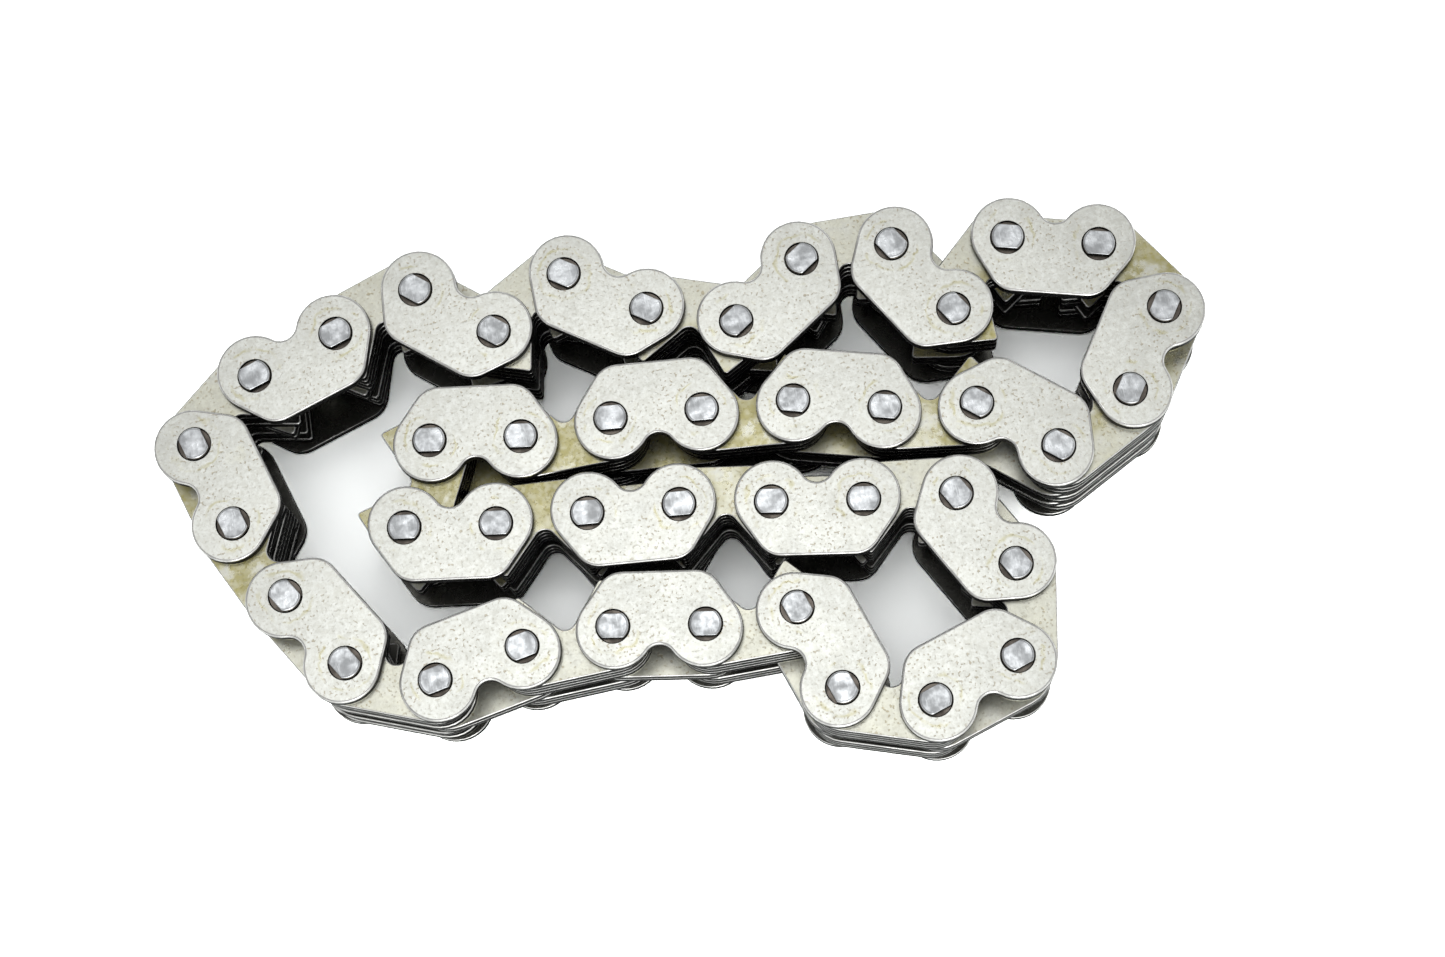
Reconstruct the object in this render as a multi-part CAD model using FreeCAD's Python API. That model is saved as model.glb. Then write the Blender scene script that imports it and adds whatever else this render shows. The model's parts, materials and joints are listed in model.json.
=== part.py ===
import FreeCAD, Part
import math
import os

# Endless silent chain: an inverted-tooth timing chain of 42 links, lying on its side.
#
# Guide links and inner links take turns round the loop. A guide link is two guide plates,
# two tooth plates between them and the two pins that hold its plates together. An inner
# link is the tooth plates that fill the layers its two neighbours leave free, and it turns
# on their pins. The pins stand upright, along Z, and the loop rests on their lower ends.
#
# Lengths are in millimetres. Plate outlines are given in pitches, as chain standards give
# them, in a link's own frame: the origin midway between its two pins, u from the first pin
# to the second, and v from the pin line towards the smooth back. The teeth lie at -v.

# Driving dimensions
PITCH = 9.525              # 3/8 inch, from pin to pin
PLATE_THICKNESS = 1.45
SIDE_CLEARANCE = 0.05      # between neighbouring layers
INNER_LAYERS = 9           # layers of tooth plates between the guide plates
PIN_DIAMETER = 3.40
PIN_RUNNING_GAP = 0.08     # radial, between a pin and every plate hole
PIN_ACROSS_FLATS = 2.50    # between the two flats at each end of a pin
PIN_FLAT_LENGTH = 0.80     # how far the flats run in from the end
PIN_PROUD = 0.50           # how far a pin stands out of each guide plate
PIN_CHAMFER = 0.25

# Guide plate outline, in pitches
GUIDE_REACH = 0.405        # from a pin to the plate's end
GUIDE_BACK = 0.46          # from the pin line to the top of the lobes
GUIDE_FRONT = 0.60         # from the pin line to the flat edge on the tooth side
GUIDE_LOBE_R = 0.42
GUIDE_NOTCH_FLOOR = 0.208  # from the pin line to the floor of the notch in the back
GUIDE_FLANK_DEG = 55       # slope of the flanks that narrow the plate
GUIDE_CORNER_R = 0.30

# Tooth plate outline, in pitches
TOOTH_REACH = 0.38
TOOTH_BACK = 0.44
TOOTH_HEEL_R = 0.40
TOOTH_OUTER_DEG = 48       # slope of the outer flanks, which meet the sprocket
TOOTH_INNER_DEG = 50       # slope of the flanks of the crotch between the teeth
TOOTH_CROTCH_TOP = -0.10
TOOTH_CROTCH_R = 0.12
TOOTH_TIP_R = 0.04

# Layers are counted from the upper guide plate, which is layer 0. Every guide link has its
# two tooth plates in the middle layers, apart from those named here.
MIDDLE_LAYERS = (5, 6)
OTHER_MIDDLE_LAYERS = {5: (4, 7), 6: (4, 7), 7: (4, 7), 8: (4, 7), 19: (3, 8), 20: (3, 8)}

# How the loop lies: the heading of each link in degrees, anticlockwise from +X. The loop
# runs clockwise from above, with the teeth to the right. Guide link 1 comes first, then
# inner link 1, guide link 2 and so on.
GUIDE_LINKS = 21
# Two guide links that face opposite ways: the heading of the first of each pair. When both
# turn by the same angle, the loop stays closed.
FACING_PAIRS = {
    (1, 7): -42, (4, 19): -61, (5, 8): -18, (9, 12): 172,
    (10, 11): 169, (13, 17): -12, (15, 21): -165,
}
# The other seven guide links also stay closed when they turn together, because their
# headings add up to nothing. The last two headings follow from these five.
SEVEN_HEADINGS = {2: -37, 3: 31, 14: -64, 18: -172, 20: 104}
SEVEN_LAST = (6, 16)
# Inner links only move along with their neighbours. The last two close the loop.
INNER_HEADINGS = {
    1: 27, 2: -22, 3: -4, 4: 40, 5: -59, 6: -155, 7: 169, 8: 172, 9: 178, 10: -118,
    11: -7, 12: -12, 13: -10, 14: -103, 15: 159, 16: 177, 17: 179, 18: 156, 21: 16,
}
INNER_LAST = (19, 20)

LAYER_PITCH = PLATE_THICKNESS + SIDE_CLEARANCE
STACK_HEIGHT = (INNER_LAYERS + 2) * LAYER_PITCH - SIDE_CLEARANCE
PIN_LENGTH = STACK_HEIGHT + 2 * PIN_PROUD
HOLE_R = PIN_DIAMETER / 2 + PIN_RUNNING_GAP


def vector(u, v, z=0.0):
    return FreeCAD.Vector(u, v, z)


def heading_vector(degrees):
    angle = math.radians(degrees)
    return vector(math.cos(angle), math.sin(angle))


def closing_headings(headings):
    """The two headings that bring a ring of links with these headings back to its start,
    the one further anticlockwise first."""
    gap = vector(0, 0)
    for degrees in headings:
        gap -= heading_vector(degrees)
    middle = math.degrees(math.atan2(gap.y, gap.x))
    half = math.degrees(math.acos(gap.Length / 2))
    return middle + half, middle - half


def guide_headings():
    headings = dict(SEVEN_HEADINGS)
    headings.update(zip(SEVEN_LAST, closing_headings(SEVEN_HEADINGS.values())))
    for (first, second), degrees in FACING_PAIRS.items():
        headings[first] = degrees
        headings[second] = degrees + 180
    return headings


def inner_headings():
    headings = dict(INNER_HEADINGS)
    headings.update(zip(INNER_LAST, closing_headings(INNER_HEADINGS.values())))
    return headings


def arc(start, middle, end):
    return Part.Arc(start, middle, end).toShape()


def line(start, end):
    return Part.LineSegment(start, end).toShape()


def on_circle(centre, radius, degrees):
    return centre + heading_vector(degrees) * radius


def crossing(point, degrees, other, other_degrees):
    """Where two straight lines meet, each given by a point and a slope."""
    along, across = heading_vector(degrees), heading_vector(other_degrees)
    gap = other - point
    reach = (gap.x * across.y - gap.y * across.x) / (along.x * across.y - along.y * across.x)
    return point + along * reach


def corner_arc(before, corner, after, radius):
    """The start, middle and end of a round corner between two straight edges."""
    back, on = (before - corner).normalize(), (after - corner).normalize()
    half = back.getAngle(on) / 2
    inward = (back + on).normalize()
    start = corner + back * (radius / math.tan(half))
    end = corner + on * (radius / math.tan(half))
    middle = corner + inward * (radius / math.sin(half) - radius)
    return start, middle, end


def mirrored(points):
    """The same points on the other side of the link's middle, in the opposite order."""
    return [vector(-p.x, p.y) for p in reversed(points)]


def outline(stretches):
    """A closed wire through stretches of two points, which are lines, or three, which are
    arcs, with a line where one stretch ends apart from the next one's start."""
    edges = []
    for stretch, following in zip(stretches, stretches[1:] + stretches[:1]):
        edges.append(arc(*stretch) if len(stretch) == 3 else line(*stretch))
        if (following[0] - stretch[-1]).Length > 1e-6:
            edges.append(line(stretch[-1], following[0]))
    return Part.Wire(edges)


def guide_outline():
    """Two round lobes with a notch between them, and flanks that narrow to a flat front."""
    lobe_r = GUIDE_LOBE_R * PITCH
    notch_floor = GUIDE_NOTCH_FLOOR * PITCH
    front = -GUIDE_FRONT * PITCH
    lobe = vector((0.5 + GUIDE_REACH) * PITCH - lobe_r, GUIDE_BACK * PITCH - lobe_r)
    # The notch is an arc that runs smoothly into both lobes.
    drop = lobe_r - notch_floor
    notch_y = (lobe.x**2 + lobe.y**2 - drop**2) / (2 * (drop + lobe.y))
    notch = vector(0, notch_y)
    into_notch = math.degrees(math.atan2(notch.y - lobe.y, -lobe.x))
    flank = GUIDE_FLANK_DEG - 90
    lobe_start = on_circle(lobe, lobe_r, flank)
    lobe_end = on_circle(lobe, lobe_r, into_notch)
    lobe_middle = on_circle(lobe, lobe_r, (flank + into_notch) / 2)
    corner = crossing(lobe_start, GUIDE_FLANK_DEG, vector(0, front), 0)
    lower = list(corner_arc(vector(0, front), corner, lobe_start, GUIDE_CORNER_R * PITCH))
    right_lobe = [lobe_start, lobe_middle, lobe_end]
    return outline([
        lower,
        right_lobe,
        [lobe_end, vector(0, notch_floor), vector(-lobe_end.x, lobe_end.y)],
        mirrored(right_lobe),
        mirrored(lower),
    ])


def tooth_outline():
    """A straight back with round heels, and two teeth with a crotch between them."""
    heel_r = TOOTH_HEEL_R * PITCH
    crotch_r = TOOTH_CROTCH_R * PITCH
    heel = vector((0.5 + TOOTH_REACH) * PITCH - heel_r, TOOTH_BACK * PITCH - heel_r)
    crotch = vector(0, TOOTH_CROTCH_TOP * PITCH - crotch_r)
    outer = TOOTH_OUTER_DEG - 90
    heel_start = on_circle(heel, heel_r, outer)
    right_heel = [heel_start, on_circle(heel, heel_r, (outer + 90) / 2), on_circle(heel, heel_r, 90)]
    crotch_end = on_circle(crotch, crotch_r, 90 - TOOTH_INNER_DEG)
    tip = crossing(heel_start, TOOTH_OUTER_DEG, crotch_end, -TOOTH_INNER_DEG)
    right_tip = list(corner_arc(crotch_end, tip, heel_start, TOOTH_TIP_R * PITCH))
    return outline([
        right_tip,
        right_heel,
        mirrored(right_heel),
        mirrored(right_tip),
        [vector(-crotch_end.x, crotch_end.y), on_circle(crotch, crotch_r, 90), crotch_end],
    ])


def plate(wire, layer):
    """A flat plate of this outline with its two pin holes, in this layer of the stack."""
    holes = [
        Part.Wire(Part.Circle(vector(side * PITCH / 2, 0), vector(0, 0, 1), HOLE_R).toShape())
        for side in (-1, 1)
    ]
    solid = Part.Face([wire] + holes, "Part::FaceMakerBullseye").extrude(vector(0, 0, PLATE_THICKNESS))
    top = PIN_PROUD + STACK_HEIGHT - layer * LAYER_PITCH
    solid.translate(vector(0, 0, top - PLATE_THICKNESS))
    return solid


def pin(side):
    """A round pin with chamfered ends, and two flats at each end that lie along the pin line."""
    radius = PIN_DIAMETER / 2
    solid = Part.makeCylinder(radius, PIN_LENGTH)
    ends = [edge for edge in solid.Edges if isinstance(edge.Curve, Part.Circle)]
    solid = solid.makeChamfer(PIN_CHAMFER, ends)
    offcut_v = (PIN_ACROSS_FLATS / 2, -PIN_ACROSS_FLATS / 2 - radius)
    for z in (0, PIN_LENGTH - PIN_FLAT_LENGTH):
        for v in offcut_v:
            corner = vector(-radius, v, z)
            solid = solid.cut(Part.makeBox(PIN_DIAMETER, radius, PIN_FLAT_LENGTH, corner))
    solid = solid.Solids[0]
    solid.translate(vector(side * PITCH / 2, 0))
    return solid


def middle_layers(guide):
    return OTHER_MIDDLE_LAYERS.get(guide, MIDDLE_LAYERS)


def guide_link(number):
    guide_wire, tooth_wire = guide_outline(), tooth_outline()
    plates = [plate(guide_wire, 0), plate(guide_wire, INNER_LAYERS + 1)]
    plates += [plate(tooth_wire, layer) for layer in middle_layers(number)]
    return plates + [pin(-1), pin(1)]


def inner_link(number):
    """The tooth plates in every layer that the guide links on both sides leave free."""
    following = number % GUIDE_LINKS + 1
    taken = set(middle_layers(number)) | set(middle_layers(following))
    tooth_wire = tooth_outline()
    return [plate(tooth_wire, layer) for layer in range(1, INNER_LAYERS + 1) if layer not in taken]


def placed(solids, start, degrees):
    """Solids from a link's own frame, moved to where its first pin is at start."""
    for solid in solids:
        solid.translate(vector(PITCH / 2, 0))
        solid.rotate(vector(0, 0), vector(0, 0, 1), degrees)
        solid.translate(start)
    return solids


def chain():
    """Every link of the loop, as its name and its solids in place."""
    guides, inners = guide_headings(), inner_headings()
    start = vector(0, 0)
    links = {}
    for number in range(1, GUIDE_LINKS + 1):
        links[f"guide_link_{number:02d}"] = placed(guide_link(number), start, guides[number])
        start = start + heading_vector(guides[number]) * PITCH
        links[f"inner_link_{number:02d}"] = placed(inner_link(number), start, inners[number])
        start = start + heading_vector(inners[number]) * PITCH
    return links


def main():
    links = chain()
    box = Part.Compound([solid for solids in links.values() for solid in solids]).optimalBoundingBox()
    to_origin = vector(-box.Center.x, -box.Center.y)
    os.makedirs("parts", exist_ok=True)
    for name, solids in links.items():
        for solid in solids:
            solid.translate(to_origin)
        Part.Compound(solids).exportStep(f"parts/{name}.step")
    print(f"pin 1 of guide link 1 at {to_origin.x:.3f}, {to_origin.y:.3f}")
    print(f"loop {box.XLength:.2f} x {box.YLength:.2f} x {PIN_LENGTH:.2f} mm")


main()
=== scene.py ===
"""Endless silent chain, lying on its side: the finished look of every plate and pin.

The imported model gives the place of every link. Each plate is a link's own outline, drawn in
the link's own frame: u along the link from its first pin to its last, v from the pin line
towards the smooth back, and the teeth at -v. Outlines are in pitches, and other lengths are
in metres.
"""

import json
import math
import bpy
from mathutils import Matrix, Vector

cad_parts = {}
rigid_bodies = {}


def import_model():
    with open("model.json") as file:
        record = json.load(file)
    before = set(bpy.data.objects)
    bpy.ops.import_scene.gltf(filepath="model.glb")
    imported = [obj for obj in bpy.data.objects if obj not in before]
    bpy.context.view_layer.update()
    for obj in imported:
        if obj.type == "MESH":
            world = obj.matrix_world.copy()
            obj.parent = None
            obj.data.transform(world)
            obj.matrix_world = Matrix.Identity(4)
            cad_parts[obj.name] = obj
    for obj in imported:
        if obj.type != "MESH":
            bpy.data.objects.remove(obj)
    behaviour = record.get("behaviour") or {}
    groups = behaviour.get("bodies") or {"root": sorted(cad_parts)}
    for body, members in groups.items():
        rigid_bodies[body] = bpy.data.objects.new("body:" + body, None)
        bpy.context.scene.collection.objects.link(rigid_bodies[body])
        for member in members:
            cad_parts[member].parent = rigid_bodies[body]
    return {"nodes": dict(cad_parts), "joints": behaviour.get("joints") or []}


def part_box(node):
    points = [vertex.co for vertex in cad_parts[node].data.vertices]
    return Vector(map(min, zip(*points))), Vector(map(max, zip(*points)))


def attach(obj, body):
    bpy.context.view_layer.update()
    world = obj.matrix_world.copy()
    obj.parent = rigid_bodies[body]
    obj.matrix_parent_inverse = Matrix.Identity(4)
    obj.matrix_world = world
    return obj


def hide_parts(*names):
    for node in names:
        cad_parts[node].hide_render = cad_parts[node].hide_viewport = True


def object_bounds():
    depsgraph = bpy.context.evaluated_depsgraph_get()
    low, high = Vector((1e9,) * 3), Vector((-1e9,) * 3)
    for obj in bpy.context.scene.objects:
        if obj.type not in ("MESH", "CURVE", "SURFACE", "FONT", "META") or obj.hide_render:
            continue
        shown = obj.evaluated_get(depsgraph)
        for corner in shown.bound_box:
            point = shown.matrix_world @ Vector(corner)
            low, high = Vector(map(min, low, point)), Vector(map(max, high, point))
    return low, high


bl_info = {
    "name": "Silent chain",
    "version": (1, 0, 0),
    "blender": (4, 5, 0),
    "location": "View3D > Sidebar > Silent chain",
    "description": "Builds the plates and pins of an endless inverted-tooth chain",
    "category": "Object",
}

import bmesh
import bpy
from mathutils import Matrix, Vector

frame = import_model()
CAD_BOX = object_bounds()

MM = 0.001
MERGE = 1e-7  # points closer than this, in metres, are one point
FLAT = 0.999  # a face whose normal has more than this of the height lies flat
UPRIGHT = 0.02  # and one with less than this stands upright
UP, DOWN = 1, -1

# The angle that one facet of a curve spans.
GUIDE_FACET = math.radians(9)
TOOTH_FACET = math.radians(12)
PIN_FACET = math.radians(11.25)

LINK_UV = "link_place"  # u and v of every point in its own link's frame, in pitches
CROWN = 0.16 * MM  # how much lower a face is one pitch from its middle
FACE_RELIEF = 0.012 * MM  # depth of the fine pits in a face

# Dried oil: a ring round each pin, in pitches, and patches in the band of the chain where
# two strands lie close together.
RING_RADIUS = 0.285
RING_WIDTH = 0.028
RING_WANDER = 0.03
BAND_MIDDLE = 7 * MM
BAND_WANDER = 5 * MM
BAND_THICK, BAND_END = 4 * MM, 13 * MM

# Each lamp's place from the chain's middle, its diameter and how bright its face is.
LAMPS = {
    "softbox": ((-0.02, 0.07, 0.60), 0.20, 1.0),
    "front card": ((0.0, -0.75, 0.32), 0.60, 2.6),
}
WALL_TOP = 0.72  # sine of the angle from the zenith to the top of the studio's walls
FLOOR_REACH = 1.5
SENSOR_WIDTH = 36.0

# Layers are counted from the upper guide plate, which is layer 0. Every guide link has its
# two tooth plates in the middle layers, apart from those named here.
MIDDLE_LAYERS = (5, 6)
OTHER_MIDDLE_LAYERS = {5: (4, 7), 6: (4, 7), 7: (4, 7), 8: (4, 7), 19: (3, 8), 20: (3, 8)}


# ---------------------------------------------------------------- sizes and colours


def length(name, description, default):
    return bpy.props.FloatProperty(
        name=name, description=description, default=default, min=0.0, unit="LENGTH", precision=5
    )


def in_pitches(name, description, default):
    return bpy.props.FloatProperty(name=name, description=description, default=default)


def slope(name, description, degrees):
    return bpy.props.FloatProperty(
        name=name, description=description, default=math.radians(degrees), subtype="ANGLE"
    )


def colour(name, description, default):
    return bpy.props.FloatVectorProperty(
        name=name, description=description, default=default, size=3, min=0.0, max=1.0,
        subtype="COLOR",
    )


def share(name, description, default):
    return bpy.props.FloatProperty(
        name=name, description=description, default=default, min=0.0, soft_max=1.0, subtype="FACTOR"
    )


class StackSizes(bpy.types.PropertyGroup):
    """Plates and pins across the chain."""

    plate_thickness: length("Plate thickness", "Thickness of every plate", 1.45 * MM)
    side_clearance: length("Side clearance", "Gap between neighbouring plates", 0.05 * MM)
    inner_layers: bpy.props.IntProperty(
        name="Inner layers", description="Layers of tooth plates between guide plates", default=9
    )
    pin_diameter: length("Pin diameter", "Diameter of a pin's round stretches", 3.40 * MM)
    running_gap: length("Running gap", "Radial gap between a pin and a plate's hole", 0.08 * MM)
    across_flats: length("Across flats", "Width of a pin between its two flats", 2.50 * MM)
    flat_length: length("Flat length", "How far a pin's flats run in from its end", 0.80 * MM)
    pin_proud: length("Pin proud", "How far a pin stands out of a guide plate", 0.50 * MM)
    pin_chamfer: length("Pin chamfer", "Chamfer round a pin's end", 0.25 * MM)
    pin_edge: length("Pin edge", "Rounding of the edges along a pin's flats", 0.06 * MM)
    guide_roll: length("Guide plate roll", "Rounding of a guide plate's outer rim", 0.26 * MM)
    guide_edge: length("Guide plate edge", "Rounding of a guide plate's inner rim", 0.08 * MM)
    tooth_edge: length("Tooth plate edge", "Rounding of a tooth plate's rims", 0.13 * MM)
    bore_edge: length("Bore edge", "Rounding of a hole's rims", 0.05 * MM)


class GuideOutline(bpy.types.PropertyGroup):
    """Outline of a guide plate, in pitches."""

    reach: in_pitches("Reach", "From a pin to the plate's end", 0.405)
    back: in_pitches("Back", "From the pin line to the top of the lobes", 0.46)
    front: in_pitches("Front", "From the pin line to the flat edge on the tooth side", 0.60)
    lobe_radius: in_pitches("Lobe radius", "Radius of the two lobes", 0.42)
    notch_floor: in_pitches("Notch floor", "From the pin line to the floor of the notch", 0.208)
    flank: slope("Flank", "Slope of the flanks that narrow the plate", 55)
    corner_radius: in_pitches("Corner radius", "Radius where a flank meets the front", 0.30)


class ToothOutline(bpy.types.PropertyGroup):
    """Outline of a tooth plate, in pitches."""

    reach: in_pitches("Reach", "From a pin to the plate's end", 0.38)
    back: in_pitches("Back", "From the pin line to the straight back", 0.44)
    heel_radius: in_pitches("Heel radius", "Radius of the heels", 0.40)
    outer: slope("Outer flank", "Slope of the flanks that meet the sprocket", 48)
    inner: slope("Inner flank", "Slope of the flanks of the crotch", 50)
    crotch_top: in_pitches("Crotch top", "From the pin line down to the crotch", 0.10)
    crotch_radius: in_pitches("Crotch radius", "Radius of the crotch", 0.12)
    tip_radius: in_pitches("Tip radius", "Radius of the tooth tips", 0.04)


class Finishes(bpy.types.PropertyGroup):
    """Colours of the steel, the oil on it and the floor."""

    guide_face: colour("Guide face", "Tumbled face of a guide plate", (0.82, 0.835, 0.79))
    tooth_face: colour("Tooth face", "Face of a tooth plate", (0.76, 0.77, 0.70))
    # inside is near black: partly oil, partly painted shade between the plates
    inside: colour("Inside face", "Oily face between the plates", (0.10, 0.10, 0.09))
    rim: colour("Rim", "Polished rolled rim of a plate", (0.84, 0.84, 0.81))
    # edge is near black: partly oil, partly painted shade on the upright sides of the stack
    edge: colour("Sheared edge", "Oily sheared edge of a plate", (0.050, 0.050, 0.047))
    bore: colour("Bore", "Wall of a plate's hole", (0.16, 0.14, 0.12))
    # ledge is darkened: partly brown unpolished steel, partly painted shade cast by the pin's proud
    # end
    ledge: colour("Ledge", "Brown floor beside a pin's flats", (0.13, 0.115, 0.10))
    pin: colour("Pin", "Hardened pin", (0.58, 0.60, 0.615))
    grime: colour("Grime", "Warm grey film in the hollows of a face", (0.47, 0.46, 0.39))
    speckle: colour("Speckle", "Fine pits that hold old oil", (0.36, 0.29, 0.17))
    oil: colour("Oil", "Dried yellow oil", (0.47, 0.42, 0.13))
    floor: colour("Floor", "Plain pale floor", (0.915, 0.935, 0.93))


class Studio(bpy.types.PropertyGroup):
    """Camera and lights."""

    lens: bpy.props.FloatProperty(
        name="Lens", description="Focal length of the camera in millimetres", default=83.28
    )
    tilt: slope("Tilt", "How far the camera leans back from looking straight down", 12.2)
    roll: slope("Roll", "Turn of the camera round its own line of sight", -13.36)
    distance: length("Distance", "From the camera to the middle of the chain", 353.7 * MM)
    aim_right: length("Aim right", "Where the camera looks, right of the chain's middle", 2.1 * MM)
    aim_far: length("Aim far", "Where the camera looks, beyond the chain's middle", 1.9 * MM)
    zenith: share("Zenith", "Light of the sky where it is brightest", 1.8)
    horizon: share("Horizon", "Light of the sky at the horizon", 0.40)
    spread: share("Spread", "Sine of the angle from there to where it is darkest", 0.42)
    walls: share("Walls", "Light of the pale walls round the horizon", 0.95)
    back_shift: share("Back shift", "How far the brightest sky lies to the back", 0.08)
    left_shift: share("Left shift", "How far the brightest sky lies to the left", 0.05)
    floor_gain: bpy.props.FloatProperty(
        name="Floor gain", description="How much lighter the floor looks", default=5.0
    )
    mirror_gain: bpy.props.FloatProperty(
        name="Mirror gain", description="How much lighter it looks in the steel", default=1.4
    )


CLASSES = [StackSizes, GuideOutline, ToothOutline, Finishes, Studio]


def settings(scene):
    return scene.silent_chain_sizes, scene.silent_chain_finishes


# ---------------------------------------------------------------- where the links are


def link_names():
    """Guide link 1, inner link 1, guide link 2 and so on round the loop."""
    guides = sorted(name for name in frame["nodes"] if name.startswith("guide_link"))
    inners = sorted(name for name in frame["nodes"] if name.startswith("inner_link"))
    return [name for pair in zip(guides, inners) for name in pair]


def box_middle(name):
    low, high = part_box(name)
    return (low + high).xy / 2


def first_pins():
    """The place of each link's first pin. The loop is open at one pivot, which has no joint,
    so that pin is found one pitch from the pins on both sides of it."""
    names = link_names()
    joints = {frozenset((j["parent"], j["child"])): Vector(j["pos_m"]).xy for j in frame["joints"]}
    pins = [joints.get(frozenset((names[i - 1], names[i]))) for i in range(len(names))]
    pitch = next((b - a).length for a, b in zip(pins, pins[1:]) if a and b)
    for i, pin in enumerate(pins):
        if pin is None:
            before, after = pins[i - 1], pins[(i + 1) % len(pins)]
            middle, half = (before + after) / 2, (after - before) / 2
            aside = half.orthogonal().normalized() * math.sqrt(pitch**2 - half.length_squared)
            link = box_middle(names[i - 1])
            choices = (middle + aside, middle - aside)
            pins[i] = min(choices, key=lambda pin: ((before + pin) / 2 - link).length)
    return names, pins, pitch


NAMES, PINS, PITCH = first_pins()


def link_frame(name):
    """The matrix that carries a link's own frame to its place in the chain."""
    i = NAMES.index(name)
    first, last = PINS[i], PINS[(i + 1) % len(PINS)]
    along = (last - first).normalized().to_3d()
    across = Vector((-along.y, along.x, 0))
    up = Vector((0, 0, 1))
    turn = Matrix((along, across, up)).transposed().to_4x4()
    return Matrix.Translation(((first + last) / 2).to_3d()) @ turn


def middle_layers(guide):
    return OTHER_MIDDLE_LAYERS.get(guide, MIDDLE_LAYERS)


def free_layers(number, sizes):
    """The layers that the guide links on both sides of this inner link leave free."""
    following = number % (len(NAMES) // 2) + 1
    taken = {*middle_layers(number), *middle_layers(following)}
    return [layer for layer in range(1, sizes.inner_layers + 1) if layer not in taken]


def layer_bottom(layer, sizes):
    """Height of the lower face of the plates in this layer."""
    top = CAD_BOX[1].z - sizes.pin_proud
    layer_pitch = sizes.plate_thickness + sizes.side_clearance
    return top - layer * layer_pitch - sizes.plate_thickness


# ---------------------------------------------------------------- drawing an outline


def point(u, v):
    return Vector((u, v, 0.0)) * PITCH


def on_circle(centre, radius, angle):
    return centre + Vector((math.cos(angle), math.sin(angle), 0.0)) * radius


def crossing(a, angle_a, b, angle_b):
    """Where two straight lines meet, each given by a point and a slope."""
    along = Vector((math.cos(angle_a), math.sin(angle_a)))
    across = Vector((math.cos(angle_b), math.sin(angle_b)))
    gap = (b - a).xy
    return a + along.to_3d() * (gap.cross(across) / along.cross(across))


class Pen:
    """Draws a closed line in a mesh, stretch by stretch, and fills it."""

    def __init__(self, mesh, start, step):
        self.mesh = mesh
        self.step = step
        self.first = self.here = mesh.verts.new(start)
        self.edges = []

    def line(self, to):
        made = bmesh.ops.extrude_vert_indiv(self.mesh, verts=[self.here])
        self.here = made["verts"][0]
        self.here.co = to
        self.edges += made["edges"]

    def arc(self, centre, angle):
        """Round centre, anticlockwise for an angle above zero."""
        before = set(self.mesh.edges)
        steps = max(1, math.ceil(abs(angle) / self.step - 1e-6))
        made = bmesh.ops.spin(
            self.mesh, geom=[self.here], cent=centre, axis=(0, 0, 1), angle=angle, steps=steps
        )
        self.here = next(g for g in made["geom_last"] if isinstance(g, bmesh.types.BMVert))
        self.edges += [edge for edge in self.mesh.edges if edge not in before]

    def corner(self, at, onward, radius):
        """A straight run towards a corner, and an arc round it towards the onward point."""
        back, on = (self.here.co - at).normalized(), (onward - at).normalized()
        half = back.angle(on) / 2
        centre = at + (back + on).normalized() * (radius / math.sin(half))
        self.line(at + back * (radius / math.tan(half)))
        self.arc(centre, math.copysign(math.pi - 2 * half, back.cross(on).z * -1))

    def close(self):
        self.edges.append(self.mesh.edges.new((self.here, self.first)))
        bmesh.ops.contextual_create(self.mesh, geom=self.edges)


def hole(sizes):
    """Centre and radius of the hole on the right of a link's middle."""
    return point(0.5, 0), sizes.pin_diameter / 2 + sizes.running_gap


def in_hole(at, sizes):
    """Whether a point lies on the wall of one of the two holes, or inside it."""
    centre, radius = hole(sizes)
    from_pin = Vector((abs(at.x) - centre.x, at.y))
    return from_pin.length < radius * 1.01


def guide_face(mesh, shape, sizes, step):
    """The right half of a guide plate: two round lobes with a notch between them, and flanks
    that narrow to a flat front."""
    centre, bore = hole(sizes)
    radius = shape.lobe_radius
    lobe = Vector((0.5 + shape.reach - radius, shape.back - radius))
    drop = radius - shape.notch_floor
    notch_v = (lobe.length_squared - drop**2) / (2 * (drop + lobe.y))
    into_notch = math.atan2(notch_v - lobe.y, -lobe.x)
    level = -math.asin(lobe.y / radius)
    flank = shape.flank - math.pi / 2
    lobe_at, lobe_radius = point(*lobe), radius * PITCH
    lobe_start = on_circle(lobe_at, lobe_radius, flank)
    end = on_circle(lobe_at, lobe_radius, level)
    front = point(0, -shape.front)
    corner = crossing(lobe_start, shape.flank, front, 0)

    lower = Pen(mesh, front, step)
    lower.corner(corner, lobe_start, shape.corner_radius * PITCH)
    lower.line(lobe_start)
    lower.arc(lobe_at, level - flank)
    lower.line(centre + Vector((bore, 0, 0)))
    lower.arc(centre, -math.pi)
    lower.line(point(0, 0))
    lower.close()

    upper = Pen(mesh, end, step)
    upper.arc(lobe_at, into_notch - level)
    notch_at = point(0, notch_v)
    start = math.atan2(upper.here.co.y - notch_at.y, upper.here.co.x - notch_at.x)
    upper.arc(notch_at, -math.pi / 2 - start)
    upper.line(point(0, 0))
    upper.line(centre - Vector((bore, 0, 0)))
    upper.arc(centre, -math.pi)
    upper.close()


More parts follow.
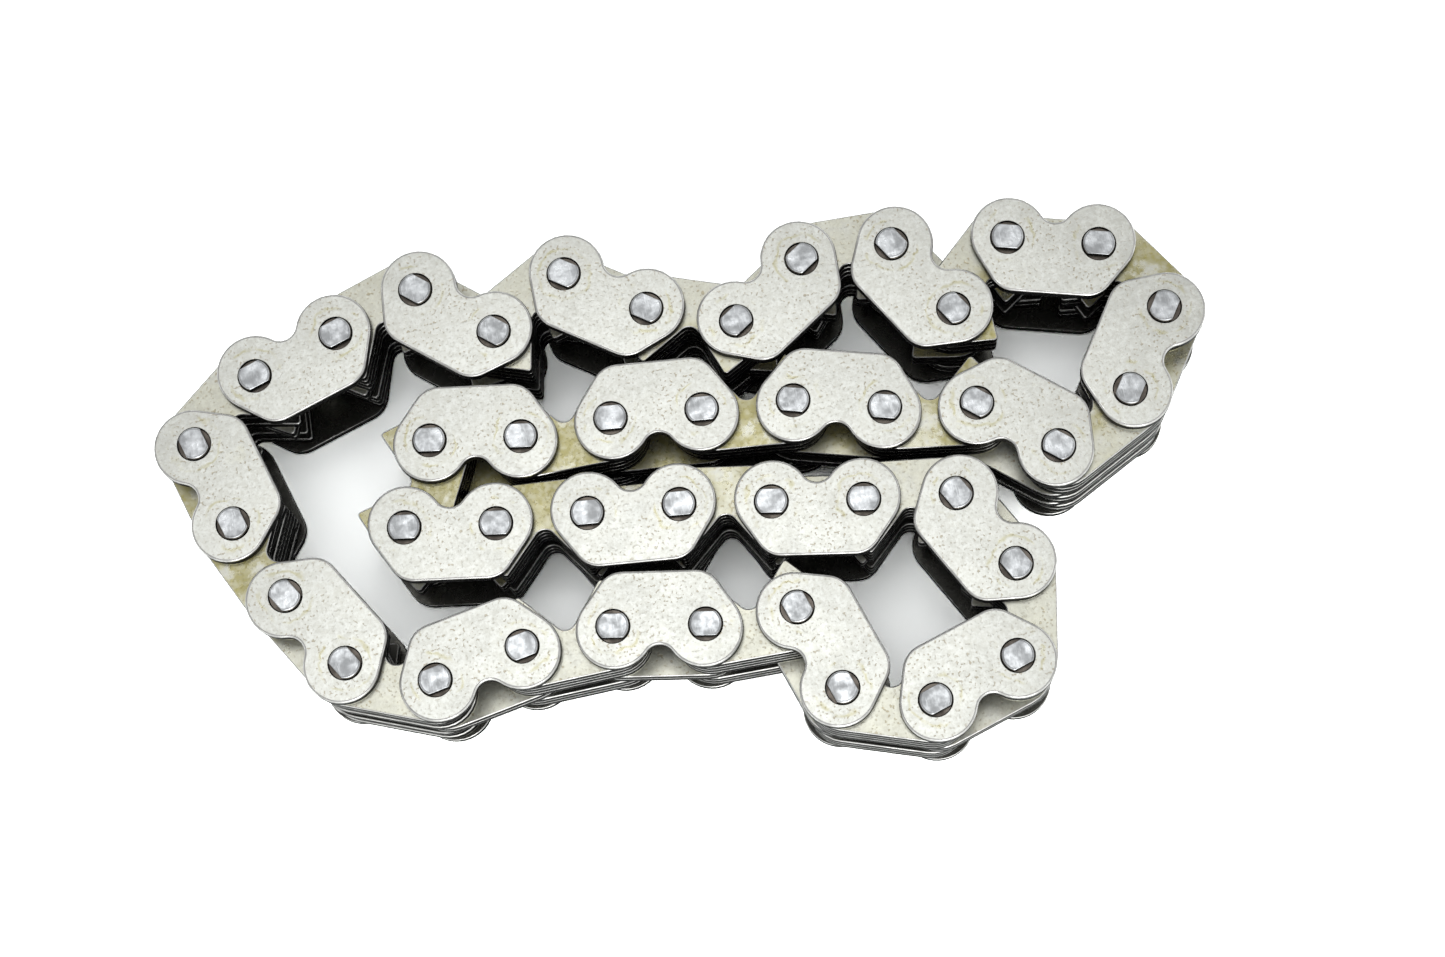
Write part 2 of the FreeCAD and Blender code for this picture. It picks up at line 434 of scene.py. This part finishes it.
def tooth_face(mesh, shape, sizes, step):
    """The right half of a tooth plate: a straight back with a round heel, and one tooth."""
    centre, bore = hole(sizes)
    radius = shape.heel_radius
    heel = Vector((0.5 + shape.reach - radius, shape.back - radius))
    level = -math.asin(heel.y / radius)
    outer = shape.outer - math.pi / 2
    heel_at, heel_radius = point(*heel), radius * PITCH
    heel_start = on_circle(heel_at, heel_radius, outer)
    end = on_circle(heel_at, heel_radius, level)
    crotch_at = point(0, -shape.crotch_top - shape.crotch_radius)
    crotch_end = on_circle(crotch_at, shape.crotch_radius * PITCH, math.pi / 2 - shape.inner)
    tip = crossing(heel_start, shape.outer, crotch_end, -shape.inner)

    lower = Pen(mesh, point(0, -shape.crotch_top), step)
    lower.arc(crotch_at, -shape.inner)
    lower.corner(tip, heel_start, shape.tip_radius * PITCH)
    lower.line(heel_start)
    lower.arc(heel_at, level - outer)
    lower.line(centre + Vector((bore, 0, 0)))
    lower.arc(centre, -math.pi)
    lower.line(point(0, 0))
    lower.close()

    upper = Pen(mesh, end, step)
    upper.arc(heel_at, math.pi / 2 - level)
    upper.line(point(0, shape.back))
    upper.line(point(0, 0))
    upper.line(centre - Vector((bore, 0, 0)))
    upper.arc(centre, -math.pi)
    upper.close()


# ---------------------------------------------------------------- plates and pins

PLATE_SURFACES = ["face", "rim", "edge", "bore", "inside"]
PIN_SURFACES = ["end", "side", "ledge"]


def round_rims(mesh, faces_up, size, segments, sizes):
    """Rounds the outer rim of the flat face that looks up, or down, and the rims of its holes."""
    for of_hole in (False, True):
        caps = [face for face in mesh.faces if abs(face.normal.z - faces_up) < 0.01]
        rims = [
            edge for face in caps for edge in face.edges
            if edge.calc_face_angle(0) > 1 and in_hole(edge.verts[0].co, sizes) == of_hole
        ]
        bmesh.ops.bevel(
            mesh, geom=rims, offset=sizes.bore_edge if of_hole else size,
            offset_type="OFFSET", segments=1 if of_hole else segments, profile=0.5,
            affect="EDGES", clamp_overlap=True, material=-1,
        )


def name_surfaces(mesh, sizes):
    """Gives each face its material, by its place in PLATE_SURFACES. Only the flat faces are
    shaded flat."""
    for face in mesh.faces:
        upright = abs(face.normal.z)
        face.smooth = upright < FLAT
        if upright > FLAT:
            surface = "face"
        elif in_hole(face.calc_center_median(), sizes) and upright < UPRIGHT:
            surface = "bore"
        else:
            surface = "rim" if upright > UPRIGHT else "edge"
        face.material_index = PLATE_SURFACES.index(surface)


def put_in_order(mesh):
    """Sorts the corners, edges and faces by where they are, because bevel leaves them in an
    order that changes from run to run."""
    for elements, place in (
        (mesh.verts, lambda vert: vert.co),
        (mesh.edges, lambda edge: edge.verts[0].co + edge.verts[1].co),
        (mesh.faces, lambda face: face.calc_center_median()),
    ):
        ordered = sorted(elements, key=lambda one: [round(c / MERGE) for c in place(one)])
        elements.sort(key={one: number for number, one in enumerate(ordered)}.get)


def plate(draw, shape, sizes, step, rims):
    """A flat plate on z 0 in its link's own frame. rims is the rounding and its segments for
    the upper rims, then for the lower ones."""
    mesh = bmesh.new()
    draw(mesh, shape, sizes, step)
    bmesh.ops.remove_doubles(mesh, verts=mesh.verts, dist=MERGE)
    half = list(mesh.verts) + list(mesh.edges) + list(mesh.faces)
    bmesh.ops.mirror(mesh, geom=half, axis="X", merge_dist=MERGE)
    bmesh.ops.remove_doubles(mesh, verts=mesh.verts, dist=MERGE)
    made = bmesh.ops.extrude_face_region(mesh, geom=list(mesh.faces))
    raised = [g for g in made["geom"] if isinstance(g, bmesh.types.BMVert)]
    bmesh.ops.translate(mesh, verts=raised, vec=(0, 0, sizes.plate_thickness))
    bmesh.ops.recalc_face_normals(mesh, faces=mesh.faces)
    for faces_up, (size, segments) in zip((UP, DOWN), rims):
        round_rims(mesh, faces_up, size, segments, sizes)
    bmesh.ops.recalc_face_normals(mesh, faces=mesh.faces)
    name_surfaces(mesh, sizes)
    put_in_order(mesh)
    return mesh


def pin_mesh(sizes, step):
    """A round pin on z 0 and the origin, with two flats along u at each chamfered end."""
    mesh = bmesh.new()
    height = CAD_BOX[1].z - CAD_BOX[0].z
    radius = sizes.pin_diameter / 2
    flat_v = sizes.across_flats / 2
    bmesh.ops.create_cone(
        mesh, cap_ends=True, segments=round(2 * math.pi / step), radius1=radius, radius2=radius,
        depth=height - 2 * sizes.flat_length, matrix=Matrix.Translation((0, 0, height / 2)),
    )
    for side in (-1, 1):
        everything = list(mesh.verts) + list(mesh.edges) + list(mesh.faces)
        bmesh.ops.bisect_plane(
            mesh, geom=everything, plane_co=(0, side * flat_v, 0), plane_no=(0, 1, 0)
        )
    for up in (UP, DOWN):
        between = [
            face for face in mesh.faces
            if face.normal.z * up > 0.9 and abs(face.calc_center_median().y) < flat_v
        ]
        made = bmesh.ops.extrude_face_region(mesh, geom=between)
        bmesh.ops.delete(mesh, geom=between, context="FACES_ONLY")
        raised = [g for g in made["geom"] if isinstance(g, bmesh.types.BMVert)]
        bmesh.ops.translate(mesh, verts=raised, vec=(0, 0, up * sizes.flat_length))
    bmesh.ops.recalc_face_normals(mesh, faces=mesh.faces)
    for size, segments, along_flat in ((sizes.pin_chamfer, 2, False), (sizes.pin_edge, 1, True)):
        tops = [
            face for face in mesh.faces
            if abs(face.calc_center_median().z - height / 2) > height / 2 - 1e-6
        ]
        rims = [
            edge for face in tops for edge in face.edges
            if all(abs(abs(vert.co.y) - flat_v) < 1e-6 for vert in edge.verts) == along_flat
        ]
        bmesh.ops.bevel(
            mesh, geom=rims, offset=size, offset_type="OFFSET", segments=segments, profile=0.5,
            affect="EDGES", material=-1,
        )
    bmesh.ops.recalc_face_normals(mesh, faces=mesh.faces)
    for face in mesh.faces:
        upright = abs(face.normal.z)
        from_end = height / 2 - abs(face.calc_center_median().z - height / 2)
        face.smooth = max(upright, abs(face.normal.y)) < FLAT
        if upright > FLAT and from_end > sizes.flat_length / 2:
            surface = "ledge"
        else:
            surface = "end" if upright > 0.1 else "side"
        face.material_index = PIN_SURFACES.index(surface)
    put_in_order(mesh)
    return mesh


def write_link_places(mesh):
    """Stores u and v of every corner as a UV map, while the mesh is in its link's frame."""
    layer = mesh.loops.layers.uv.new(LINK_UV)
    for face in mesh.faces:
        for loop in face.loops:
            loop[layer].uv = loop.vert.co.xy / PITCH


def oil_and_shade_inside(mesh, outside):
    """Gives the inside finish to the flat faces that don't look up or down to the outside. Its dark
    colour is partly oil and partly painted shade between the plates.
    """
    flat, oily_and_shaded = PLATE_SURFACES.index("face"), PLATE_SURFACES.index("inside")
    for face in mesh.faces:
        if face.material_index == flat and round(face.normal.z) not in outside:
            face.material_index = oily_and_shaded


def make_piece(name, body, copies, materials):
    """One piece of a link: copies of finished meshes, each with its move in the link's own
    frame and the ways in which its outside faces look. The piece stands for its link's CAD
    node and moves with it."""
    whole = bmesh.new()
    for mesh, move, outside in copies:
        one = mesh.copy()
        oil_and_shade_inside(one, outside)
        one.transform(Matrix.Translation(move))
        write_link_places(one)
        data = bpy.data.meshes.new("part")
        one.to_mesh(data)
        one.free()
        whole.from_mesh(data)
        bpy.data.meshes.remove(data)
    whole.transform(link_frame(body))
    data = bpy.data.meshes.new(name)
    whole.to_mesh(data)
    whole.free()
    for material in materials:
        data.materials.append(material)
    piece = bpy.data.objects.new(name, data)
    bpy.context.scene.collection.objects.link(piece)
    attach(piece, body)
    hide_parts(body)
    return piece


# ---------------------------------------------------------------- materials


class Nodes:
    """A short way to build one Principled material."""

    def __init__(self, name):
        self.material = bpy.data.materials.new(name)
        self.material.use_nodes = True
        self.tree = self.material.node_tree
        self.shader = self.tree.nodes["Principled BSDF"]
        self.place = self.add("ShaderNodeTexCoord").outputs["Object"]

    def add(self, kind, inputs=None, **values):
        node = self.tree.nodes.new(kind)
        for key, value in values.items():
            setattr(node, key, value)
        for key, value in (inputs or {}).items():
            self.set(node.inputs[key], value)
        return node

    def set(self, socket, value):
        if isinstance(value, bpy.types.NodeSocket):
            self.tree.links.new(value, socket)
        else:
            socket.default_value = value

    def noise(self, size, detail=3.0, roughness=0.5, place=None, **inputs):
        """Noise whose blotches are about this large, in metres."""
        node = self.add(
            "ShaderNodeTexNoise",
            {"Vector": place or self.place, "Scale": 1 / size, "Detail": detail,
             "Roughness": roughness, **inputs},
        )
        return node.outputs["Fac"]

    def stretched(self, scale):
        """Object coordinates multiplied by this scale, for patterns longer one way."""
        return self.add("ShaderNodeMapping", {"Vector": self.place, "Scale": scale}).outputs[0]

    def ramp(self, value, low, high, to_low=0.0, to_high=1.0):
        """Value from low to high, turned smoothly into to_low to to_high."""
        node = self.add(
            "ShaderNodeMapRange",
            {
                "Value": value, "From Min": low, "From Max": high,
                "To Min": to_low, "To Max": to_high,
            },
            interpolation_type="SMOOTHSTEP",
        )
        return node.outputs["Result"]

    def math(self, operation, a, b=0.0):
        return self.add("ShaderNodeMath", {0: a, 1: b}, operation=operation).outputs[0]

    def mix(self, factor, a, b, blend="MIX"):
        """a at factor 0 and b at factor 1."""
        node = self.add("ShaderNodeMix", data_type="RGBA", blend_type=blend)
        self.set(node.inputs["Factor"], factor)
        for socket, value in zip([s for s in node.inputs if s.type == "RGBA"], (a, b)):
            self.set(socket, value if isinstance(value, bpy.types.NodeSocket) else (*value, 1.0))
        return next(s for s in node.outputs if s.type == "RGBA")

    def bump(self, height, depth, strength=1.0):
        values = {"Height": height, "Distance": depth, "Strength": strength}
        node = self.add("ShaderNodeBump", values)
        self.set(self.shader.inputs["Normal"], node.outputs[0])

    def finish(self, base, metallic, roughness, glancing=1.0):
        """glancing is how much of the light that comes at a low angle is thrown back."""
        self.shader.inputs["Specular Tint"].default_value = (glancing, glancing, glancing, 1.0)
        self.set(self.shader.inputs["Base Color"], base)
        self.set(self.shader.inputs["Metallic"], metallic)
        self.set(self.shader.inputs["Roughness"], roughness)
        return self.material


def scaled(rgb, by):
    return tuple(min(1.0, c * by) for c in rgb)


def distances_on_link(nodes):
    """How far a point of a plate is from its nearest pin and from the link's middle, in
    pitches."""
    uv = nodes.add("ShaderNodeUVMap", uv_map=LINK_UV).outputs[0]
    parts = nodes.add("ShaderNodeSeparateXYZ", {0: uv}).outputs
    from_pin = nodes.math("SUBTRACT", nodes.math("ABSOLUTE", parts[0]), 0.5)
    joined = nodes.add("ShaderNodeCombineXYZ", {0: from_pin, 1: parts[1]}).outputs[0]
    return [
        nodes.add("ShaderNodeVectorMath", {0: place}, operation="LENGTH").outputs["Value"]
        for place in (joined, uv)
    ]


def dried_oil(n, from_pin, stain):
    """How thick the oil is that has dried on a face: a broken ring round each pin, and
    patches where two strands lie close together."""
    wander = n.ramp(n.noise(2.0 * MM, 3.0), 0.3, 0.7, -RING_WANDER, RING_WANDER)
    radius = n.math("ADD", from_pin, wander)
    ring = n.math("ABSOLUTE", n.math("SUBTRACT", radius, RING_RADIUS))
    ring = n.ramp(ring, 0.0, RING_WIDTH, 1.0, 0.0)
    broken = n.ramp(n.noise(3.0 * MM, 3.0, 0.6), 0.46, 0.62)
    ring = n.math("MULTIPLY", ring, broken)

    shore = 0.66 - 0.42 * stain
    patches = n.ramp(n.noise(3.2 * MM, 5.0, 0.65), shore, shore + 0.16)
    across = n.add("ShaderNodeSeparateXYZ", {0: n.place}).outputs["Y"]
    nearest, farthest = -BAND_MIDDLE - BAND_WANDER, -BAND_MIDDLE + BAND_WANDER
    wander = n.ramp(n.noise(9 * MM, 2.0), 0.3, 0.7, nearest, farthest)
    from_band = n.math("ABSOLUTE", n.math("ADD", across, wander))
    band = n.ramp(from_band, BAND_THICK, BAND_END, 1.0, 0.15)
    patches = n.math("MULTIPLY", n.math("MULTIPLY", patches, band), 0.5 + 0.6 * stain)

    oil = n.math("MAXIMUM", ring, patches)
    oil = n.math("MULTIPLY", oil, n.ramp(n.noise(0.6 * MM, 2.0), 0.3, 0.7, 0.6, 1.0))
    return n.math("MULTIPLY", oil, 0.5 + 0.5 * stain)


def face_steel(name, base, finishes, stain):
    """Tumbled steel, slightly crowned: cloudy, finely pitted, with old oil dried on it.
    stain is how much of it the oil covers, from 0 to 1."""
    n = Nodes(name)
    clouds = n.noise(3.5 * MM, 4.0, 0.6)
    steel = n.mix(n.ramp(clouds, 0.3, 0.7), scaled(base, 0.84), scaled(base, 1.08))
    mottle = n.noise(0.8 * MM, 3.0, 0.7)
    steel = n.mix(n.ramp(mottle, 0.38, 0.62, 0.22, 0.0), steel, finishes.grime)
    fine = n.noise(0.3 * MM, 2.0, 0.6)
    steel = n.mix(n.ramp(fine, 0.40, 0.60, 0.26, 0.0), steel, finishes.grime)

    where = n.ramp(n.noise(3.0 * MM, 3.0), 0.40, 0.60)
    pits = n.ramp(n.noise(0.32 * MM, 1.5, 0.4), 0.60, 0.68)
    pitted = n.math("MULTIPLY", pits, n.ramp(where, 0.0, 1.0, 0.15, 0.6))
    steel = n.mix(pitted, steel, finishes.speckle)

    from_pin, from_middle = distances_on_link(n)
    oil = dried_oil(n, from_pin, stain)
    steel = n.mix(oil, steel, finishes.oil)

    rough = n.ramp(clouds, 0.3, 0.7, 0.28, 0.38)
    rough = n.math("SUBTRACT", rough, n.math("MULTIPLY", oil, 0.08))
    crown = n.math("MULTIPLY", n.math("POWER", from_middle, 2.0), -CROWN / FACE_RELIEF)
    height = n.math("ADD", n.math("MULTIPLY", fine, 0.6), n.math("MULTIPLY", pits, -0.8))
    n.bump(n.math("ADD", height, crown), FACE_RELIEF, 0.6)
    return n.finish(steel, n.ramp(oil, 0.0, 1.0, 0.95, 0.3), rough)


def rim_steel(name, base):
    """The rolled rim that handling keeps bright."""
    n = Nodes(name)
    worn = n.ramp(n.noise(1.2 * MM, 3.0), 0.35, 0.65)
    steel = n.mix(worn, scaled(base, 0.72), base)
    n.bump(n.noise(0.3 * MM, 2.0), 0.01 * MM, 0.4)
    return n.finish(steel, 1.0, n.ramp(worn, 0.0, 1.0, 0.38, 0.26))


def sheared_steel(name, base):
    """A punched edge, with the fine upright lines that the punch leaves. Its near-black colour is
    partly oil and partly painted shade on the upright sides of the stack.
    """
    n = Nodes(name)
    lines = n.noise(0.18 * MM, 2.0, place=n.stretched((1, 1, 0.25)))
    wet = n.noise(2.5 * MM, 3.0)
    steel = n.mix(n.ramp(lines, 0.45, 0.75), base, scaled(base, 2.0))
    steel = n.mix(n.ramp(wet, 0.5, 0.7), steel, scaled(base, 0.6))
    n.bump(lines, 0.006 * MM, 0.4)
    return n.finish(steel, 0.9, n.ramp(wet, 0.3, 0.7, 0.40, 0.22), 0.2)


def inside_steel(name, base):
    """A face between the plates, wet with oil. Its dark colour is partly oil and partly painted
    shade between the plates.
    """
    n = Nodes(name)
    wet = n.noise(2.0 * MM, 3.0)
    steel = n.mix(n.ramp(wet, 0.35, 0.65), scaled(base, 0.7), scaled(base, 1.5))
    n.bump(n.noise(0.6 * MM, 2.0), 0.02 * MM, 0.4)
    return n.finish(steel, 0.9, n.ramp(wet, 0.3, 0.7, 0.34, 0.2), 0.3)


def pin_steel(name, base):
    """A hardened pin's end: blue-grey, smudged and scratched."""
    n = Nodes(name)
    smudge = n.noise(1.3 * MM, 4.0, 0.6)
    steel = n.mix(n.ramp(smudge, 0.32, 0.68), scaled(base, 0.72), scaled(base, 1.22))
    scratches = n.noise(0.16 * MM, 2.0, place=n.stretched((1, 0.12, 1)), Distortion=0.6)
    steel = n.mix(n.ramp(scratches, 0.58, 0.72, 0.0, 0.55), steel, scaled(base, 1.5))
    dents = n.noise(0.5 * MM, 2.0)
    n.bump(n.math("ADD", dents, n.math("MULTIPLY", scratches, 0.4)), 0.03 * MM, 0.6)
    return n.finish(steel, 1.0, n.ramp(smudge, 0.3, 0.7, 0.42, 0.26))


def plate_materials(kind, face, finishes, stain):
    return [
        face_steel(f"{kind} face steel", face, finishes, stain),
        rim_steel(f"{kind} rim steel", finishes.rim),
        sheared_steel(f"{kind} sheared steel", finishes.edge),
        rim_steel(f"{kind} bore steel", finishes.bore),
        inside_steel(f"{kind} inside steel", finishes.inside),
    ]


# ---------------------------------------------------------------- operators


class SILENTCHAIN_OT_guide_plates(bpy.types.Operator):
    """Builds the upper and lower guide plate of every guide link"""

    bl_idname = "silent_chain.guide_plates"
    bl_label = "Guide plates"

    def execute(self, context):
        sizes, finishes = settings(context.scene)
        shape = context.scene.silent_chain_guide
        rolled, sharp = (sizes.guide_roll, 4), (sizes.guide_edge, 1)
        plates = {}
        for side, rims, layer, outside in (
            ("upper", (rolled, sharp), 0, {UP}),
            ("lower", (sharp, rolled), sizes.inner_layers + 1, {DOWN}),
        ):
            mesh = plate(guide_face, shape, sizes, GUIDE_FACET, rims)
            plates[side] = [(mesh, Vector((0, 0, layer_bottom(layer, sizes))), outside)]
        materials = plate_materials("guide plate", finishes.guide_face, finishes, stain=0.1)
        for name in NAMES[::2]:
            for side, copies in plates.items():
                make_piece(f"{name}_{side}_plate", name, copies, materials)
        return {"FINISHED"}


class SILENTCHAIN_OT_tooth_plates(bpy.types.Operator):
    """Builds the tooth plates of every guide link and inner link"""

    bl_idname = "silent_chain.tooth_plates"
    bl_label = "Tooth plates"

    def execute(self, context):
        sizes, finishes = settings(context.scene)
        shape = context.scene.silent_chain_tooth
        edge = (sizes.tooth_edge, 2)
        mesh = plate(tooth_face, shape, sizes, TOOTH_FACET, (edge, edge))
        materials = plate_materials("tooth plate", finishes.tooth_face, finishes, stain=0.8)
        for i, name in enumerate(NAMES):
            number = i // 2 + 1
            layers = free_layers(number, sizes) if i % 2 else middle_layers(number)
            # The other flat faces get the dark inside finish, which is partly painted shade between
            # the plates.
            outside = {layers[0]: {UP}, layers[-1]: {DOWN}}
            copies = [
                (mesh, Vector((0, 0, layer_bottom(layer, sizes))), outside.get(layer, set()))
                for layer in layers
            ]
            make_piece(f"{name}_tooth_plates", name, copies, materials)
        return {"FINISHED"}


class SILENTCHAIN_OT_pins(bpy.types.Operator):
    """Builds the two pins of every guide link"""

    bl_idname = "silent_chain.pins"
    bl_label = "Pins"

    def execute(self, context):
        sizes, finishes = settings(context.scene)
        mesh = pin_mesh(sizes, PIN_FACET)
        materials = [
            pin_steel("pin end steel", finishes.pin),
            # The pin sides share the near-black edge colour, which is partly painted shade.
            sheared_steel("pin side steel", finishes.edge),
            # The ledge colour includes painted shade cast by the pin's proud end.
            rim_steel("pin ledge steel", finishes.ledge),
        ]
        for name in NAMES[::2]:
            for side, u in (("first", -0.5), ("last", 0.5)):
                move = point(u, 0) + Vector((0, 0, CAD_BOX[0].z))
                copies = [(mesh, move, {UP, DOWN})]
                make_piece(f"{name}_{side}_pin", name, copies, materials)
        return {"FINISHED"}


class SILENTCHAIN_OT_stage(bpy.types.Operator):
    """Builds the floor, the lights and the camera"""

    bl_idname = "silent_chain.stage"
    bl_label = "Stage"

    def execute(self, context):
        studio = context.scene.silent_chain_studio
        middle = (CAD_BOX[0] + CAD_BOX[1]) / 2
        make_floor(context.scene.silent_chain_finishes.floor, studio)
        make_sky(studio)
        for name, (place, size, level) in LAMPS.items():
            make_lamp(name, middle + Vector(place), middle, size, level)
        make_camera(studio, middle)
        context.scene.view_settings.view_transform = "Standard"
        return {"FINISHED"}


def make_floor(base, studio):
    """A matt floor, which looks lighter than the light that it throws back on the chain."""
    mesh = bmesh.new()
    bmesh.ops.create_grid(mesh, x_segments=1, y_segments=1, size=FLOOR_REACH)
    data = bpy.data.meshes.new("floor")
    mesh.to_mesh(data)
    mesh.free()
    n = Nodes("matt white floor")
    paper = n.mix(n.noise(6 * MM, 3.0), scaled(base, 0.985), scaled(base, 1.01))
    n.shader.inputs["Specular IOR Level"].default_value = 0.1
    rays = n.add("ShaderNodeLightPath").outputs
    for seen, gain in (
        (rays["Is Camera Ray"], studio.floor_gain),
        (n.math("MAXIMUM", rays["Is Glossy Ray"], rays["Is Transmission Ray"]), studio.mirror_gain),
    ):
        lifted = n.add("ShaderNodeVectorMath", {0: paper, 3: gain}, operation="SCALE").outputs[0]
        paper = n.mix(seen, paper, lifted)
    data.materials.append(n.finish(paper, 0.0, 0.8))
    floor = bpy.data.objects.new("floor", data)
    floor.location.z = CAD_BOX[0].z
    bpy.context.scene.collection.objects.link(floor)


def make_sky(studio):
    """A plain sky, brightest nearly overhead, darker round that, and pale again where the
    walls of the studio would be."""
    world = bpy.data.worlds.new("studio")
    bpy.context.scene.world = world
    world.use_nodes = True
    nodes, links = world.node_tree.nodes, world.node_tree.links
    place = nodes.new("ShaderNodeTexCoord")
    level = nodes.new("ShaderNodeVectorMath")
    level.operation = "MULTIPLY_ADD"
    level.inputs[1].default_value = (1, 1, 0)
    level.inputs[2].default_value = (studio.left_shift, -studio.back_shift, 0)
    from_zenith = nodes.new("ShaderNodeVectorMath")
    from_zenith.operation = "LENGTH"
    fall = nodes.new("ShaderNodeMapRange")
    fall.interpolation_type = "SMOOTHSTEP"
    fall.inputs["From Max"].default_value = studio.spread
    fall.inputs["To Min"].default_value = studio.zenith
    fall.inputs["To Max"].default_value = studio.horizon
    links.new(place.outputs["Generated"], level.inputs[0])
    links.new(level.outputs["Vector"], from_zenith.inputs[0])
    links.new(from_zenith.outputs["Value"], fall.inputs["Value"])
    walls = nodes.new("ShaderNodeMapRange")
    walls.interpolation_type = "SMOOTHSTEP"
    walls.inputs["From Min"].default_value = WALL_TOP
    walls.inputs["To Max"].default_value = studio.walls
    links.new(from_zenith.outputs["Value"], walls.inputs["Value"])
    lightest = nodes.new("ShaderNodeMath")
    lightest.operation = "MAXIMUM"
    links.new(fall.outputs[0], lightest.inputs[0])
    links.new(walls.outputs[0], lightest.inputs[1])
    links.new(lightest.outputs[0], nodes["Background"].inputs["Strength"])
    nodes["Background"].inputs["Color"].default_value = (1.0, 1.0, 1.0, 1.0)


def make_lamp(name, at, towards, size, level):
    """A round softbox. level is how bright its face is, where 1 is white."""
    light = bpy.data.lights.new(name, "AREA")
    light.shape = "DISK"
    light.size = size
    light.energy = level * math.pi * math.pi * (size / 2) ** 2
    lamp = bpy.data.objects.new(name, light)
    lamp.location = at
    lamp.rotation_euler = (towards - at).to_track_quat("-Z", "Y").to_euler()
    bpy.context.scene.collection.objects.link(lamp)


def make_camera(studio, middle):
    data = bpy.data.cameras.new("camera")
    data.lens = studio.lens
    data.sensor_width = SENSOR_WIDTH
    data.clip_start = 0.01
    camera = bpy.data.objects.new("camera", data)
    turn = Matrix.Rotation(studio.tilt, 4, "X") @ Matrix.Rotation(studio.roll, 4, "Z")
    aim = middle + Vector((studio.aim_right, studio.aim_far, 0))
    away = turn @ Vector((0, 0, studio.distance))
    camera.matrix_world = Matrix.Translation(aim + away) @ turn
    bpy.context.scene.collection.objects.link(camera)
    bpy.context.scene.camera = camera


class SILENTCHAIN_PT_panel(bpy.types.Panel):
    """Builds the chain from its sizes and colours"""

    bl_idname = "SILENTCHAIN_PT_panel"
    bl_label = "Silent chain"
    bl_space_type = "VIEW_3D"
    bl_region_type = "UI"
    bl_category = "Silent chain"

    def draw(self, context):
        for title, (name, group) in SETTINGS.items():
            box = self.layout.box()
            box.label(text=title)
            for prop in group.__annotations__:
                box.prop(getattr(context.scene, name), prop)
        for operator in OPERATORS:
            self.layout.operator(operator.bl_idname)


SETTINGS = {
    "Sizes": ("silent_chain_sizes", StackSizes),
    "Guide plate outline": ("silent_chain_guide", GuideOutline),
    "Tooth plate outline": ("silent_chain_tooth", ToothOutline),
    "Finishes": ("silent_chain_finishes", Finishes),
    "Studio": ("silent_chain_studio", Studio),
}
OPERATORS = [
    SILENTCHAIN_OT_guide_plates,
    SILENTCHAIN_OT_tooth_plates,
    SILENTCHAIN_OT_pins,
    SILENTCHAIN_OT_stage,
]


def register():
    for cls in CLASSES + OPERATORS + [SILENTCHAIN_PT_panel]:
        bpy.utils.register_class(cls)
    for name, group in SETTINGS.values():
        setattr(bpy.types.Scene, name, bpy.props.PointerProperty(type=group))


def unregister():
    for name, _ in SETTINGS.values():
        delattr(bpy.types.Scene, name)
    for cls in reversed(CLASSES + OPERATORS + [SILENTCHAIN_PT_panel]):
        bpy.utils.unregister_class(cls)


def main():
    register()
    bpy.ops.silent_chain.guide_plates()
    bpy.ops.silent_chain.tooth_plates()
    bpy.ops.silent_chain.pins()
    bpy.ops.silent_chain.stage()


if __name__ == "__main__":
    main()
